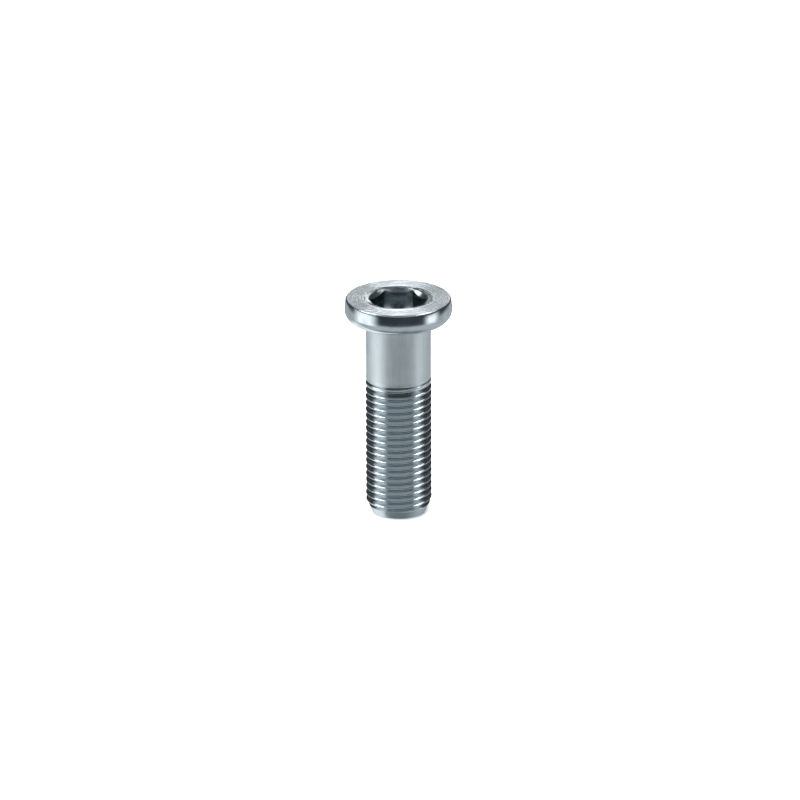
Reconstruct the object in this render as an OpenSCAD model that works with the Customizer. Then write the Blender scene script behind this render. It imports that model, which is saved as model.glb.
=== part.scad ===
// Levelling foot screw: a one-piece steel screw with a flat round head, a hex socket,
// a plain shank and a fine thread, standing on its chamfered end.
// The origin is at the centre of the end face, with +Z along the axis towards the head.
// Sizes are in millimetres.

/* [Head] */
// Diameter of the head at its widest line
head_d = 19.5; // [18:0.1:26]
// Height of the head, from its underside to its flat face
head_h = 4.2; // [3:0.1:7]
// How far the bulged side leans in, from the widest line to the flat face
side_in = 0.25; // [0.1:0.05:0.6]
// Rounding of the edge of the flat face
edge_r = 0.25; // [0.1:0.05:0.5]
// Rounding of the rim, from its widest line round to the underside
rim_r = 2.05; // [1:0.05:2.5]

/* [Socket] */
// Width across the flats of the hex socket
socket_af = 9; // [6:0.5:9.5]
// Depth of the flats, from the flat face
socket_depth = 6; // [4:0.5:8]
// Full angle of the cone at the bottom of the socket
socket_point = 120; // [100:5:150]
// Ledge left between the flats and the cone
socket_ledge = 0.1; // [0.05:0.05:0.5]
// Diameter of the shallow dish round the mouth of the socket
dish_d = 12.3; // [11.2:0.1:14]
// Slope of the dish, in degrees
dish_slope = 11; // [4:1:15]

/* [Shank] */
// Length of the screw, from the underside of the head to the end
length = 37; // [32:0.5:80]
// Diameter of the plain shank
shank_d = 11.8; // [11.4:0.1:12]
// Fillet between the shank and the head
neck_r = 0.8; // [0.3:0.1:1.2]

/* [Thread] */
// Outer diameter of the thread
thread_d = 12; // [11.5:0.1:12.5]
// Length of the full thread, from the end
thread_l = 24.5; // [10:0.5:28]
// Rise of the thread in one turn
pitch = 1.25; // [0.75:0.25:1.75]
// Where round the screw the thread starts, in turns
thread_start = 0.3; // [0:0.05:1]
// Straight steps that make up one turn of the thread
thread_steps = 36; // [36:6:60]
// Length of the run-out, from the full thread to the plain shank
run_out = 2; // [1:0.05:3]
// Diameter of the flat end face
end_d = 9.6; // [8:0.1:11]
// Height of the chamfer at the end
end_h = 2.4; // [1:0.1:4]

/* [Hidden] */
$fn = 120;
// How far a cut runs past the face that it opens
cut = 1;
// The side is an arc that stands upright where the rim's rounding ends, at the widest line.
// Its radius is rounded to a micrometre, so that the two arcs end at the same point.
side_rise = head_h - rim_r;
side_r = round((side_rise * side_rise + side_in * side_in) / (2 * side_in) * 1000) / 1000;
side_x = head_d / 2 - side_r;
// Centre of the rounding between the side and the flat face, and the slope at which it meets the side
edge_z = head_h - edge_r;
edge_tilt = asin((edge_z - rim_r) / (side_r - edge_r));
edge_x = side_x + (side_r - edge_r) * cos(edge_tilt);
// The rounding is let out by this much, so that it crosses its neighbours instead of just touching them
edge_let_out = 0.0002;
// Depth of the dish's cone on the axis, if the socket did not cut it off
dish_h = dish_d / 2 * tan(dish_slope);
// Metric thread form: depth of the groove, half width of its flat root and slope of its flanks
groove_h = 0.6134 * pitch;
root_w = pitch / 12;
flank = tan(30);
// How far the cutter of the groove stands out of the surface. At this height its turns do not touch.
groove_out = 0.06 * pitch;

// What lies of a disc within a polygon
module disc_part(centre, r, bounds) {
    intersection() {
        translate(centre) circle(r);
        polygon(bounds);
    }
}

// Half section of the head from its underside up: rounded rim, bulged side, eased edge and dished face
module head_section() {
    rim_x = head_d / 2 - rim_r;
    edge = [edge_x, edge_z];
    polygon([[0, 0], [rim_x, 0], [rim_x, rim_r], [edge_x, rim_r], [edge_x, head_h],
             [dish_d / 2, head_h], [0, head_h - dish_h]]);
    disc_part([rim_x, rim_r], rim_r,
              [[rim_x, -cut], [head_d, -cut], [head_d, rim_r], [rim_x, rim_r]]);
    disc_part([side_x, rim_r], side_r,
              [[edge_x, rim_r], [head_d, rim_r], edge + head_d * [cos(edge_tilt), sin(edge_tilt)], edge]);
    disc_part(edge, edge_r + edge_let_out,
              [[edge_x - edge_r, edge_z], [head_d, edge_z], [head_d, head_h], [edge_x - edge_r, head_h]]);
}

// Half section of the plain shank, from the run-out up, with its fillet under the head
module shank_section() {
    shank_z = thread_l + run_out;
    translate([0, shank_z]) square([shank_d / 2, length - shank_z]);
    difference() {
        translate([shank_d / 2, length - neck_r]) square(neck_r);
        translate([shank_d / 2 + neck_r, length - neck_r]) circle(neck_r);
    }
}

// Half section of the threaded stretch before its groove is cut, with the chamfered end and the run-out
module thread_section() {
    polygon([[0, 0], [end_d / 2, 0], [thread_d / 2, end_h], [thread_d / 2, thread_l],
             [shank_d / 2, thread_l + run_out], [0, thread_l + run_out]]);
}

// Height of the middle of the groove at one step, on a right-hand helix
function groove_z(step) = (step / thread_steps + thread_start - 0.5) * pitch;

// How far the cutter has backed out of the groove: not at all on the full thread, wholly at the plain shank
function groove_lift(step) =
    (groove_h + groove_out) * min(max((groove_z(step) - thread_l) / run_out, 0), 1);

// Corner of the cutter's section at one step, at a depth under the outer diameter,
// below (side = -1) or above (side = 1) the middle of the groove
function groove_corner(step, depth, side) =
    let (angle = 360 * step / thread_steps, r = thread_d / 2 - depth + groove_lift(step))
    [r * cos(angle), r * sin(angle), groove_z(step) + side * (root_w + (groove_h - depth) * flank)];

// Cutter for the thread: a band with a section at each step, from one turn under the end up to the shank
module thread_groove() {
    steps = [-thread_steps : ceil(((thread_l + run_out) / pitch + 0.5) * thread_steps)];
    points = [for (step = steps)
        each [groove_corner(step, groove_h, -1), groove_corner(step, -groove_out, -1),
              groove_corner(step, -groove_out, 1), groove_corner(step, groove_h, 1)]];
    last = len(points) - 4;
    walls = [for (first = [0 : 4 : last - 4], k = [0 : 3])
        let (a = first + k, b = first + (k + 1) % 4)
        each [[a, b, b + 4], [a, b + 4, a + 4]]];
    polyhedron(points, concat([[3, 2, 1, 0]], walls, [[last, last + 1, last + 2, last + 3]]), convexity = 30);
}

// Hex socket below the origin, with corners on the X axis and a cone at the bottom
module socket() {
    point_r = socket_af / 2 - socket_ledge;
    point_h = point_r / tan(socket_point / 2);
    translate([0, 0, -socket_depth])
        cylinder(h = socket_depth + cut, r = socket_af / 2 / cos(30), $fn = 6);
    translate([0, 0, -socket_depth - point_h])
        cylinder(h = point_h, r1 = 0, r2 = point_r);
}

// The whole screw, one formed and turned piece
module foot_screw() {
    color([0.72, 0.76, 0.79])
        difference() {
            rotate_extrude() {
                translate([0, length]) head_section();
                shank_section();
                thread_section();
            }
            thread_groove();
            translate([0, 0, length + head_h]) socket();
        }
}

foot_screw();
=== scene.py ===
import math
import bmesh
import bpy
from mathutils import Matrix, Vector


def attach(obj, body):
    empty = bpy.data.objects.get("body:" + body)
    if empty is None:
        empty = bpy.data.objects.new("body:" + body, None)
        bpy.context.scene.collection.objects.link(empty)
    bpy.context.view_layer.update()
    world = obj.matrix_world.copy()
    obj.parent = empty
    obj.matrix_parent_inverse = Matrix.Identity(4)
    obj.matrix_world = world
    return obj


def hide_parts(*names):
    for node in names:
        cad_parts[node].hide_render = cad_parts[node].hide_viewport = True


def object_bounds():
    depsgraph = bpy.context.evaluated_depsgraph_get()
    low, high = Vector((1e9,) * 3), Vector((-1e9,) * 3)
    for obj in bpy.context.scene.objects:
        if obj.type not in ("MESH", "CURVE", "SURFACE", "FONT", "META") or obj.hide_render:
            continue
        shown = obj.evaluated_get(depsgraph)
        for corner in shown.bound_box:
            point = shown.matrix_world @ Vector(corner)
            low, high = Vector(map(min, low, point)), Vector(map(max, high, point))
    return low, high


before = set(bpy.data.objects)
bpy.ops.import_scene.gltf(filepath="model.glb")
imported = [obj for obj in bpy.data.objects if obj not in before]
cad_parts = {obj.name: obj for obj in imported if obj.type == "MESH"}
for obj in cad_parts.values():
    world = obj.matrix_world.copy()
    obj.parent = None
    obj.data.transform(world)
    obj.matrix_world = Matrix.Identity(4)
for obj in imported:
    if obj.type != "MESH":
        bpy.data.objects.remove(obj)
cadLow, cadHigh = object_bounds()
mm = 0.001
turn = 2 * math.pi


class Shade:
    # a node tree with one of its sockets, if any: each operator adds a Math node
    def __init__(self, tree, socket=None):
        self.tree = tree
        self.socket = socket

    def node(self, kind, settings=None, inputs=None, out=0):
        made = self.tree.nodes.new(kind)
        for name, value in (settings or {}).items():
            setattr(made, name, value)
        for name, value in (inputs or {}).items():
            if isinstance(value, Shade):
                self.tree.links.new(value.socket, made.inputs[name])
            else:
                made.inputs[name].default_value = value
        return Shade(self.tree, made.outputs[out] if len(made.outputs) else None)

    def pick(self, out):  # another output of the same node
        return Shade(self.tree, self.socket.node.outputs[out])

    def math(self, operation, *values):
        return self.node("ShaderNodeMath", {"operation": operation}, dict(enumerate(values)))

    def __add__(self, other):
        return self.math("ADD", self, other)

    def __rsub__(self, other):
        return self.math("SUBTRACT", other, self)

    def __mul__(self, other):
        return self.math("MULTIPLY", self, other)

    def __truediv__(self, other):
        return self.math("DIVIDE", self, other)

    __radd__ = __add__

    def rise(self, start, end):  # 0 up to start, 1 from end on, smooth between
        return self.node("ShaderNodeMapRange", {"interpolation_type": "SMOOTHSTEP"},
                         {"Value": self, "From Min": start, "From Max": end})

    def band(self, start, end, soft):  # 1 from start to end, with soft edges
        return self.rise(start - soft, start + soft) * (1 - self.rise(end - soft, end + soft))

    def blend(self, first, second):  # two colours, mixed by this value
        return self.node("ShaderNodeMix", {"data_type": "RGBA"}, {0: self, 6: first, 7: second}, out=2)


# the screw

screw = {  # in mm and degrees
    "pitch": 1.25,
    "threadRadius": 6.0,
    "fullThread": 24.5,     # top of the full thread, above the end
    "runOut": 2.0,          # above it: the groove gets shallower here, and ends at the shank
    "rightHand": True,
    "crestRound": 0.03,
    "threadStart": 0.3,     # where round the screw the thread starts, in turns
    "grooveDepth": 0.6134,  # as a share of the pitch
    "rootRound": 0.144,     # as a share of the pitch
    "toolBack": 0.06,       # the tool backs out this much further, as a share of the pitch
    "endRadius": 4.8,
    "endChamfer": 2.4,
    "endRound": 0.2,
    "shankRadius": 5.9,
    "headBottom": 37.0,
    "neckFillet": 0.8,
    "rimRound": 2.05,
    "sideIn": 0.25,
    "edgeRound": 0.25,
    "dishRadius": 6.15,
    "dishSlope": 11,
    "dishSoft": 0.35,       # the dish blends into the face over this much on either side of its edge
    "hexFlats": 9.0,
    "hexDepth": 6.0,
    "hexLedge": 0.1,
    "hexPoint": 120,
    "mouthRadius": 5.27,    # of the countersink that eases the mouth of the hex, just past its corners
    "mouthSlope": 40,
    "flank": 60,            # slope of the thread's flanks against the axis
    "columns": 180,         # points round the screw
    "weld": 0.002,          # points closer than this become one
    "sharp": 32,            # edges that bend more than this stay sharp
}
# how far a row of points lies from the middle of the crest, as a share of the pitch
rowsHalfPitch = [0.04, 0.0625, 0.085, 0.15, 0.24, 0.33, 0.385, 0.44]


def threadDepth(away, s):  # depth below the crest, for a distance from the crest's middle in mm
    pitch = s["pitch"]
    deepest = s["grooveDepth"] * pitch
    rootRadius = s["rootRound"] * pitch
    flank = math.radians(s["flank"])
    fromRoot = pitch / 2 - away
    if fromRoot < rootRadius * math.sin(flank):
        return deepest - rootRadius + math.sqrt(rootRadius ** 2 - fromRoot ** 2)
    return (away - pitch / 16) * math.tan(flank)  # the crest's flat is an eighth of the pitch wide


def softMax(a, b, width):
    return (a + b + math.hypot(a - b, width)) / 2


def part(value, start, length):  # 0 at start, 1 once the length is passed
    return min(max((value - start) / length, 0), 1)


def threadSurface(angle, z, s):  # radius of the threaded stretch at an angle in turns and a height
    hand = 1 if s["rightHand"] else -1
    turns = z / s["pitch"] - hand * angle - s["threadStart"]
    away = abs(turns - round(turns)) * s["pitch"]
    # the tool backs out of the groove over the run-out
    grooveZ = z - (turns - math.floor(turns) - 0.5) * s["pitch"]
    back = part(grooveZ, s["fullThread"], s["runOut"]) * (s["grooveDepth"] + s["toolBack"]) * s["pitch"]
    depth = softMax(0, threadDepth(away, s) - back, s["crestRound"])
    taper = part(z, s["fullThread"], s["runOut"])
    outer = s["threadRadius"] + (s["shankRadius"] - s["threadRadius"]) * taper
    cone = s["endRadius"] + (s["threadRadius"] - s["endRadius"]) * z / s["endChamfer"]
    return min(-softMax(-(outer - depth), -cone, s["crestRound"]), outer)


def arcPoints(centre, radius, start, end, steps):  # in degrees, both ends included
    return [(centre[0] + radius * math.cos(math.radians(start + (end - start) * i / steps)),
             centre[1] + radius * math.sin(math.radians(start + (end - start) * i / steps)))
            for i in range(steps + 1)]


def hexRadius(angle, flats):  # of a hexagon with corners on the X axis, angle in turns
    return flats / 2 / math.cos(math.radians((angle * 360) % 60 - 30))


def endCorner(s):  # the rounding between the end face and the chamfer: centre and the angle it turns
    turned = math.degrees(math.atan2(s["endChamfer"], s["threadRadius"] - s["endRadius"]))
    back = s["endRound"] * math.tan(math.radians(turned / 2))
    return (s["endRadius"] - back, s["endRound"]), turned


def bodyRings(s, headRadius, top):
    # the turned surface, as lists of (radius, height) for each zone, from the end to the head's face
    corner, turned = endCorner(s)
    end = [(corner[0] * share, 0) for share in (0.02, 0.2, 0.4, 0.6, 0.8, 0.92)]
    end += arcPoints(corner, s["endRound"], -90, turned - 90, 5)
    neckX = s["shankRadius"] + s["neckFillet"]
    neckZ = s["headBottom"] - s["neckFillet"]
    low = s["fullThread"] + s["runOut"]
    # the second ring keeps the uneven shading of the run-out's edge off the shank
    shank = [(s["shankRadius"], low + (neckZ - low) * share) for share in (0, 0.004, 0.2, 0.4, 0.6, 0.8)]
    shank += arcPoints((neckX, neckZ), s["neckFillet"], 180, 90, 9)
    rimX = headRadius - s["rimRound"]
    rimZ = s["headBottom"] + s["rimRound"]
    rise = top - rimZ
    sideRadius = (rise ** 2 + s["sideIn"] ** 2) / (2 * s["sideIn"])
    sideX = headRadius - sideRadius
    edgeZ = top - s["edgeRound"]
    tilt = math.degrees(math.asin((edgeZ - rimZ) / (sideRadius - s["edgeRound"])))
    edgeX = sideX + (sideRadius - s["edgeRound"]) * math.cos(math.radians(tilt))
    rim = arcPoints((rimX, rimZ), s["rimRound"], -90, 0, 18)
    rim += arcPoints((sideX, rimZ), sideRadius, 0, tilt, 8)[1:]
    rim += arcPoints((edgeX, edgeZ), s["edgeRound"], tilt, 90, 8)[1:]
    # the dish starts with a soft edge
    slope = s["dishSlope"]
    dishX = s["dishRadius"] + s["dishSoft"]
    arc = s["dishSoft"] / math.tan(math.radians(slope / 2))
    face = [(edgeX + (dishX - edgeX) * i / 5, top) for i in range(6)]
    dish = arcPoints((dishX, top - arc), arc, 90, 90 + slope, 8)[1:]
    return {"end": end, "shank": shank, "rim": rim, "face": face, "dish": dish}


def socketRings(s, angle, top):  # from the dish down to the tip of the cone, at one angle in turns
    dishTop = s["dishRadius"]
    fall = math.tan(math.radians(s["dishSlope"]))
    hexR = hexRadius(angle, s["hexFlats"])
    lip = s["mouthRadius"]
    start = dishTop - s["dishSoft"] - 0.02
    dish = [(radius, top - (dishTop - radius) * fall) for radius in (start, (start + lip) / 2, lip)]
    lipZ = dish[-1][1]
    # the countersink meets the flats in a small bevel
    steep = math.tan(math.radians(s["mouthSlope"]))
    mouth = []
    for share in (0.03, 0.25, 0.5, 0.75, 0.93):
        away = (lip - hexR) * share
        mouth.append((lip - away, lipZ - away * steep))
    wallTop = lipZ - (lip - hexR) * steep - 0.03
    floorZ = top - s["hexDepth"]
    wall = [(hexR, wallTop + (floorZ - wallTop) * i / 8) for i in range(1, 9)]
    coneR = s["hexFlats"] / 2 - s["hexLedge"]
    tipZ = floorZ - coneR / math.tan(math.radians(s["hexPoint"] / 2))
    cone = [(coneR * share, tipZ + (floorZ - tipZ) * share) for share in (1, 0.75, 0.5, 0.25, 0.02)]
    return {"dish": dish, "socket": mouth + wall + cone}


def threadGrid(s):
    # rows of points follow the helix, and those past either end are drawn back to it
    corner, turned = endCorner(s)
    low = corner[1] - s["endRound"] * math.cos(math.radians(turned))
    high = s["fullThread"] + s["runOut"]
    spots = [-share for share in reversed(rowsHalfPitch)] + [0] + rowsHalfPitch + [0.5]
    hand = 1 if s["rightHand"] else -1
    columns = s["columns"]
    firstTurn = -3
    rowCount = len(spots) * (int(high / s["pitch"]) + 6)
    points = []
    heights = []
    for column in range(columns + 1):
        angle = column / columns
        for row in range(rowCount):
            crest = firstTurn + row // len(spots) + spots[row % len(spots)]
            z = (crest + hand * angle + s["threadStart"]) * s["pitch"]
            heights.append(min(max(z, low), high))
            z = heights[-1]
            if z == low:
                radius = s["endRadius"] + (s["threadRadius"] - s["endRadius"]) * z / s["endChamfer"]
            elif z == high:
                radius = s["shankRadius"]
            else:
                radius = threadSurface(angle, z, s)
            points.append((radius * math.cos(angle * turn), radius * math.sin(angle * turn), z))
    faces = []
    for column in range(columns):
        for row in range(rowCount - 1):
            near = column * rowCount + row
            far = near + rowCount
            ends = {heights[near], heights[far], heights[near + 1], heights[far + 1]}
            if ends != {low} and ends != {high}:
                faces.append((near, far, far + 1, near + 1))
    return points, faces


def turnedGrid(rings, columns, start):
    # a surface round the axis: rings is a function of the angle that lists the points of a column
    points = []
    faces = []
    for column in range(columns):
        angle = column / columns
        for radius, z in rings(angle):
            points.append((radius * math.cos(angle * turn), radius * math.sin(angle * turn), z))
    count = len(points) // columns
    for column in range(columns):
        after = (column + 1) % columns
        for row in range(count - 1):
            faces.append((start + column * count + row, start + after * count + row,
                          start + after * count + row + 1, start + column * count + row + 1))
    return points, faces


def makeScrew(s, materials):
    top = cadHigh.z / mm
    headRadius = cadHigh.x / mm
    body = bodyRings(s, headRadius, top)
    zones = list(materials)
    points, faces = threadGrid(s)
    kinds = [zones.index("thread")] * len(faces)

    def add(sections):
        # sections gives the rings of each zone at an angle. A row of faces has the zone of its later ring.
        def ringsAt(angle):
            return [ring for zone, rings in sections(angle) for ring in rings]

        names = [zone for zone, rings in sections(0) for ring in rings][1:]
        more, quads = turnedGrid(ringsAt, s["columns"], len(points))
        points.extend(more)
        faces.extend(quads)
        kinds.extend([zones.index(name) for name in names] * s["columns"])

    def upper(angle):
        inner = socketRings(s, angle, top)
        return [("shank", body["shank"]), ("rim", body["rim"]), ("face", body["face"]),
                ("dish", body["dish"] + inner["dish"]), ("socket", inner["socket"])]

    add(lambda angle: [("end", body["end"])])
    add(upper)

    mesh = bpy.data.meshes.new("footScrew")
    mesh.from_pydata([Vector(point) * mm for point in points], [], faces)
    for polygon, kind in zip(mesh.polygons, kinds):
        polygon.material_index = kind
    shape = bmesh.new()
    shape.from_mesh(mesh)
    bmesh.ops.remove_doubles(shape, verts=shape.verts, dist=s["weld"] * mm)
    bmesh.ops.holes_fill(shape, edges=[edge for edge in shape.edges if edge.is_boundary], sides=0)
    bmesh.ops.recalc_face_normals(shape, faces=shape.faces)
    openEdges = sum(1 for edge in shape.edges if not edge.is_manifold)
    shape.to_mesh(mesh)
    shape.free()
    mesh.shade_smooth()
    mesh.set_sharp_from_angle(angle=math.radians(s["sharp"]))
    for zone in zones:
        mesh.materials.append(materials[zone])
    piece = bpy.data.objects.new("footScrew", mesh)
    bpy.context.collection.objects.link(piece)
    triangles = sum(len(polygon.vertices) - 2 for polygon in mesh.polygons)
    print("screw:", len(mesh.polygons), "faces,", triangles, "triangles, open edges:", openEdges)
    return piece


# its finishes

zinc = {
    "colour": (0.66, 0.715, 0.745),
    "shade": (0.52, 0.575, 0.61),
    # painted shade: the dark colour of the groove's last turns on the front
    "grooveShade": (0.15, 0.165, 0.18),
    "worn": (0.45, 0.5, 0.53),      # the cut marks on the faces
    "bright": (0.78, 0.83, 0.86),
    "satin": (0.86, 0.92, 0.93),
    "satinShade": (0.74, 0.80, 0.82),
    "socketShade": (0.36, 0.4, 0.42),
    "socket": (0.52, 0.57, 0.59),
    # roughness of the smoothest spots
    "shankRough": 0.4,
    "rimRough": 0.12,
    "faceRough": 0.18,
    "dishRough": 0.1,
    "endRough": 0.3,
    "threadRough": 0.13,
    "socketRough": 0.15,
    # sizes in mm. Three numbers are from, to and soft edge.
    "cloudSize": 3.0,
    "crestRadius": (5.3, 5.95),     # painted shade: the roots are darker
    "grooveShadeRadius": (5.72, 5.88),
    "grooveShadeHeight": (23.9, 26.1, 0.2),
    "grooveShadeFull": (24.8, 25.3),
    "grooveShadeAcross": (-2.3, 2.5, 0.8),
    "grooveShadeFront": (-2, 0),
    "plainRadius": (5.84, 5.88),    # what lies past these is finished as the shank is
    "plainHeight": (25.15, 25.3),
    "socketShadeHeight": (35, 41),        # painted shade: the socket is darker deeper down and gets lighter over this height
}


def startMaterial(name):
    material = bpy.data.materials.new(name)
    material.use_nodes = True
    material.node_tree.nodes.clear()
    pen = Shade(material.node_tree)
    place = pen.node("ShaderNodeTexCoord", out="Object")
    place = pen.node("ShaderNodeVectorMath", {"operation": "SCALE"}, {0: place, "Scale": 1 / mm})
    return material, pen, place  # place is in mm


def closeMaterial(pen, inputs):
    shader = pen.node("ShaderNodeBsdfPrincipled", inputs=inputs)
    pen.node("ShaderNodeOutputMaterial", inputs={"Surface": shader})


def stretched(place, factors):
    return place.node("ShaderNodeVectorMath", {"operation": "MULTIPLY"}, {0: place, 1: factors})


def noise(place, size, detail=2.0, seed=0.0):  # 0 to 1, with grains of this size in mm
    shift = (seed, seed * 0.7, -seed)
    moved = place.node("ShaderNodeVectorMath", {"operation": "ADD"}, {0: place, 1: shift})
    return place.node("ShaderNodeTexNoise", inputs={"Vector": moved, "Scale": 1 / size, "Detail": detail})


def ringNoise(radius, size, detail=2.0):  # the same, but only along the radius
    return radius.node("ShaderNodeTexNoise", {"noise_dimensions": "1D"},
                       {"W": radius, "Scale": 1 / size, "Detail": detail})


def arcNoise(place, radius, width, around):  # grains drawn out round the axis, so many to a radian
    flat = stretched(place, (1, 1, 0))
    unit = place.node("ShaderNodeVectorMath", {"operation": "NORMALIZE"}, {0: flat})
    unit = stretched(unit, (around, around, 0))
    out = radius.node("ShaderNodeCombineXYZ", inputs={"Z": radius / width})
    spot = unit.node("ShaderNodeVectorMath", {"operation": "ADD"}, {0: unit, 1: out})
    return spot.node("ShaderNodeTexNoise", inputs={"Vector": spot, "Scale": 1.0, "Detail": 3.0})


def axisDistance(place):
    flat = stretched(place, (1, 1, 0))
    return place.node("ShaderNodeVectorMath", {"operation": "LENGTH"}, {0: flat}, out="Value")


def bump(height, depth, under=None):  # height of 0 to 1, depth in mm
    inputs = {"Height": height, "Distance": depth * mm, "Strength": 1.0}
    if under:
        inputs["Normal"] = under
    return height.node("ShaderNodeBump", inputs=inputs)


def rgba(colour):
    return (*colour, 1)


def shankFinish():
    material, pen, place = startMaterial("zincSatin")
    streaks = noise(stretched(place, (1, 1, 0.04)), 0.22, 3)
    broad = noise(stretched(place, (1, 1, 0.1)), 1.6, 2, 4)
    clouds = noise(place, zinc["cloudSize"], 3, 7)
    tone = (streaks * 0.35 + broad * 0.3 + clouds * 0.35).rise(0.36, 0.64)
    closeMaterial(pen, {
        "Base Color": tone.blend(rgba(zinc["satinShade"]), rgba(zinc["satin"])),
        "Metallic": 1.0,
        "Roughness": zinc["shankRough"] + streaks * 0.08 + clouds * 0.06,
        "Normal": bump(streaks, 0.004),
    })
    return material


def rimFinish():
    material, pen, place = startMaterial("zincPolished")
    clouds = noise(place, zinc["cloudSize"], 3, 2)
    fine = noise(place, 0.12, 2, 5)
    closeMaterial(pen, {
        "Base Color": clouds.rise(0.35, 0.6).blend(rgba(zinc["shade"]), rgba(zinc["colour"])),
        "Metallic": 1.0,
        "Roughness": zinc["rimRough"] + clouds * 0.06,
        "Normal": bump(fine, 0.0006),
    })
    return material


def faceFinish(name, roughness, grooves):
    material, pen, place = startMaterial(name)
    radius = axisDistance(place)
    rings = ringNoise(radius, 0.16, 2)
    arcs = arcNoise(place, radius, 0.32, 3.5)
    clouds = noise(place, 1.3, 3, 3)
    tone = (rings * 0.2 + arcs * 0.6 + clouds * 0.2).rise(0.42, 0.58)
    closeMaterial(pen, {
        "Base Color": tone.blend(rgba(zinc["worn"]), rgba(zinc["bright"])),
        "Metallic": 1.0,
        "Roughness": roughness + arcs.rise(0.4, 0.6) * 0.1 + clouds * 0.04,
        "Anisotropic": 0.95,
        "Anisotropic Rotation": 0.25,
        "Normal": bump(noise(place, 0.3, 3, 8), grooves * 0.8, bump(rings, grooves)),
    })
    return material


def threadFinish():
    material, pen, place = startMaterial("zincThread")
    radius = axisDistance(place)
    clouds = noise(place, 1.1, 3, 6)
    fine = noise(stretched(place, (1, 1, 3)), 0.25, 2, 1)
    parts = place.node("ShaderNodeSeparateXYZ", inputs={0: place})
    height = parts.pick("Z")
    crest = radius.rise(*zinc["crestRadius"])
    # painted shade and painted dark reflection in the last turns of the groove, on the front only
    grooveShade = (1 - radius.rise(*zinc["grooveShadeRadius"])) * height.band(*zinc["grooveShadeHeight"])
    grooveShade = grooveShade * parts.band(*zinc["grooveShadeAcross"]) * (1 - parts.pick("Y").rise(*zinc["grooveShadeFront"]))
    strength = 0.7 + height.rise(*zinc["grooveShadeFull"]) * 0.3
    plain = radius.rise(*zinc["plainRadius"]) * height.rise(*zinc["plainHeight"])
    satin = clouds.rise(0.36, 0.64).blend(rgba(zinc["satinShade"]), rgba(zinc["satin"]))
    # painted shade: the roots get the darker colour by their radius, mixed with random clouds
    tone = crest * 0.62 + clouds * 0.5
    colour = tone.blend(rgba(zinc["shade"]), rgba(zinc["colour"]))
    colour = (grooveShade * strength).blend(colour, rgba(zinc["grooveShade"]))
    closeMaterial(pen, {
        "Base Color": plain.blend(colour, satin),
        "Metallic": 1.0,
        "Roughness": zinc["threadRough"] - crest * 0.03 + clouds * 0.05 + grooveShade * 0.15 + plain * 0.32,
        "Normal": bump(fine, 0.001),
    })
    return material


def socketFinish():
    material, pen, place = startMaterial("zincSocket")
    drag = noise(stretched(place, (1, 1, 0.08)), 0.3, 3, 9)
    height = place.node("ShaderNodeSeparateXYZ", inputs={0: place}).pick("Z")
    # painted shade: darker deeper in the socket, with random drag marks
    tone = height.rise(*zinc["socketShadeHeight"]) * 0.5 + drag * 0.4
    closeMaterial(pen, {
        "Base Color": tone.blend(rgba(zinc["socketShade"]), rgba(zinc["socket"])),
        "Metallic": 1.0,
        "Roughness": zinc["socketRough"] + drag * 0.1,
        "Normal": bump(drag, 0.001),
    })
    return material


finishes = {
    "thread": threadFinish(),
    "shank": shankFinish(),
    "rim": rimFinish(),
    "face": faceFinish("zincTurned", zinc["faceRough"], 0.005),
    "dish": faceFinish("zincDish", zinc["dishRough"], 0.003),
    "socket": socketFinish(),
    "end": faceFinish("zincEnd", zinc["endRough"], 0.003),
}
print("finishes:", len(finishes))
footScrew = makeScrew(screw, finishes)
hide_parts("foot_screw")
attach(footScrew, "root")


# the studio

floor = {"radius": 3.0, "colour": (0.86, 0.87, 0.88), "roughness": 0.9, "gloss": 0.1}


def makeFloor(settings):
    shape = bmesh.new()
    bmesh.ops.create_circle(shape, cap_ends=True, segments=96, radius=settings["radius"])
    mesh = bpy.data.meshes.new("floor")
    shape.to_mesh(mesh)
    shape.free()
    material, pen, place = startMaterial("paleFloor")
    closeMaterial(pen, {
        "Base Color": rgba(settings["colour"]),
        "Roughness": settings["roughness"],
        "Specular IOR Level": settings["gloss"],
    })
    mesh.materials.append(material)
    floorPiece = bpy.data.objects.new("floor", mesh)
    bpy.context.collection.objects.link(floorPiece)
    floorPiece.visible_glossy = False  # the metal mirrors the studio instead


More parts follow.
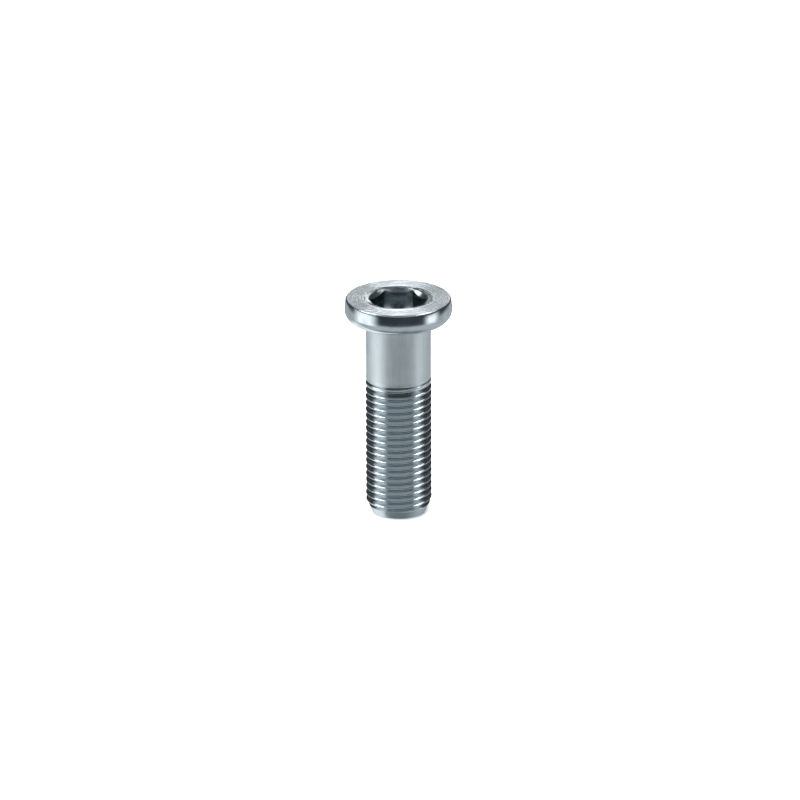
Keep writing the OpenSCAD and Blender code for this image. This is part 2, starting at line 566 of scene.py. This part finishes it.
studio = {
    "camera": 1.0,                # the white that the camera sees
    # colours that the metal mirrors
    "dark": (0.045, 0.052, 0.058),
    "front": (0.45, 0.5, 0.52),
    "rear": (0.055, 0.06, 0.062),
    "zenith": (0.10, 0.115, 0.13),
    "under": (0.22, 0.25, 0.27),
    "ground": (0.52, 0.56, 0.58),
    "groundBack": (0.4, 0.43, 0.45),
    "groundLeft": (1.15, 1.2, 1.22),
    "box": (1.5, 1.56, 1.58),
    "strip": (3.1, 3.15, 3.2),
    "high": (11.0, 11.3, 11.6),
    "wedge": (2.6, 2.7, 2.8),     # seen in the mouth of the socket
    # elevations over which these start, in degrees
    "groundRise": (-75, -50),
    "groundLeftFall": (-40, -25),
    "horizonFront": (-22, -17),   # the ground ends here, and dark starts
    "horizonBack": (-15, -9),
    "frontRise": (8, 22),
    "rearRise": (4, 14),
    "zenithRise": (62, 74),
    # angles round from the back, to either side, over which one look turns into the next
    "groundTurn": (22, 40),
    "horizonTurn": (75, 100),
    "frontTurn": (60, 100),
    # from here on three numbers are from, to and soft edge: first of angles round from the front ...
    "groundLeftSpan": (-165, -100, 12),
    "boxes": (((-100, -52, 14), (-24, 1, 4)), ((62, 90, 10), (-19.5, -4, 4))),  # with their elevations
    # ... then round from the back
    "strips": (((-0.85, 0.85, 0.4), 1.0), ((6, 11, 1), 0.6), ((-12, -5, 1), 0.12)),  # with their strengths
    "stripHeight": (-3, 31, 4),
    "highSpots": (
        ((38, 70, 4), (55, 69, 3)),
        ((38, 50, 3), (49, 55, 3)),
        ((-70, -38, 4), (47, 69, 3)),
    ),
    "wedgeSpots": (((-68, -54, 3), (35, 56, 3)),),
}


def spots(azimuth, elevation, places):  # 1 within one of them
    return sum(azimuth.band(*across) * elevation.band(*up) for across, up in places)


def makeWorld(s):
    world = bpy.data.worlds.new("studio")
    bpy.context.scene.world = world
    world.use_nodes = True
    world.node_tree.nodes.clear()
    pen = Shade(world.node_tree)
    direction = pen.node("ShaderNodeTexCoord", out="Generated")
    parts = pen.node("ShaderNodeSeparateXYZ", inputs={0: direction})
    x, y, z = parts, parts.pick("Y"), parts.pick("Z")
    degrees = 360 / turn
    elevation = pen.math("ARCSINE", z) * degrees
    fromFront = pen.math("ARCTAN2", x, y * -1.0) * degrees
    fromBack = pen.math("ARCTAN2", x, y) * degrees
    offBack = pen.math("ABSOLUTE", fromBack)
    ground = elevation.rise(*s["groundRise"]).blend(rgba(s["under"]), rgba(s["ground"]))
    ground = (1 - offBack.rise(*s["groundTurn"])).blend(ground, rgba(s["groundBack"]))
    atBack = 1 - offBack.rise(*s["horizonTurn"])
    horizon = elevation.rise(*s["horizonFront"]) * (1 - atBack) + elevation.rise(*s["horizonBack"]) * atBack
    look = horizon.blend(ground, rgba(s["dark"]))
    groundLeft = fromFront.band(*s["groundLeftSpan"]) * (1 - elevation.rise(*s["groundLeftFall"]))
    look = groundLeft.blend(look, rgba(s["groundLeft"]))
    atFront = offBack.rise(*s["frontTurn"])
    look = (elevation.rise(*s["frontRise"]) * atFront).blend(look, rgba(s["front"]))
    look = (elevation.rise(*s["rearRise"]) * (1 - atFront)).blend(look, rgba(s["rear"]))
    look = elevation.rise(*s["zenithRise"]).blend(look, rgba(s["zenith"]))
    look = spots(fromFront, elevation, s["boxes"]).blend(look, rgba(s["box"]))
    strips = sum(fromBack.band(*across) * strength for across, strength in s["strips"])
    look = (strips * elevation.band(*s["stripHeight"])).blend(look, rgba(s["strip"]))
    look = spots(fromBack, elevation, s["highSpots"]).blend(look, rgba(s["high"]))
    look = spots(fromBack, elevation, s["wedgeSpots"]).blend(look, rgba(s["wedge"]))
    background = pen.node("ShaderNodeBackground", inputs={"Color": look})
    plain = pen.node("ShaderNodeBackground", inputs={"Color": rgba((1, 1, 1)), "Strength": s["camera"]})
    seen = pen.node("ShaderNodeLightPath", out="Is Camera Ray")
    both = pen.node("ShaderNodeMixShader", inputs={0: seen, 1: background, 2: plain})
    pen.node("ShaderNodeOutputWorld", inputs={"Surface": both})


lamp = {"size": 2.2, "power": 60.0, "place": (-0.2, -0.1, 1.2)}


def makeLamp(settings):
    light = bpy.data.lights.new("overhead", "AREA")
    light.shape = "DISK"
    light.size = settings["size"]
    light.energy = settings["power"]
    piece = bpy.data.objects.new("overhead", light)
    bpy.context.collection.objects.link(piece)
    piece.location = settings["place"]
    piece.rotation_euler = (-Vector(settings["place"])).to_track_quat("-Z", "Y").to_euler()
    piece.visible_glossy = False
    piece.visible_camera = False


camera = {
    "elevation": 21.5,
    "distance": 1.2,
    "lens": 297.8,
    "roll": -0.15,
    "aim": (0.254, 0, 21.37),  # mm
}


def makeCamera(settings):
    data = bpy.data.cameras.new("camera")
    data.lens = settings["lens"]
    data.sensor_width = 36
    piece = bpy.data.objects.new("camera", data)
    bpy.context.collection.objects.link(piece)
    tilt = math.radians(settings["elevation"])
    back = Vector((0, -math.cos(tilt), math.sin(tilt)))
    piece.location = Vector(settings["aim"]) * mm + back * settings["distance"]
    piece.rotation_euler = (-back).to_track_quat("-Z", "Y").to_euler()
    piece.rotation_euler.rotate_axis("Z", math.radians(settings["roll"]))
    bpy.context.scene.camera = piece


makeFloor(floor)
makeWorld(studio)
makeLamp(lamp)
makeCamera(camera)
bpy.context.scene.view_settings.view_transform = "Standard"
print("studio is set")
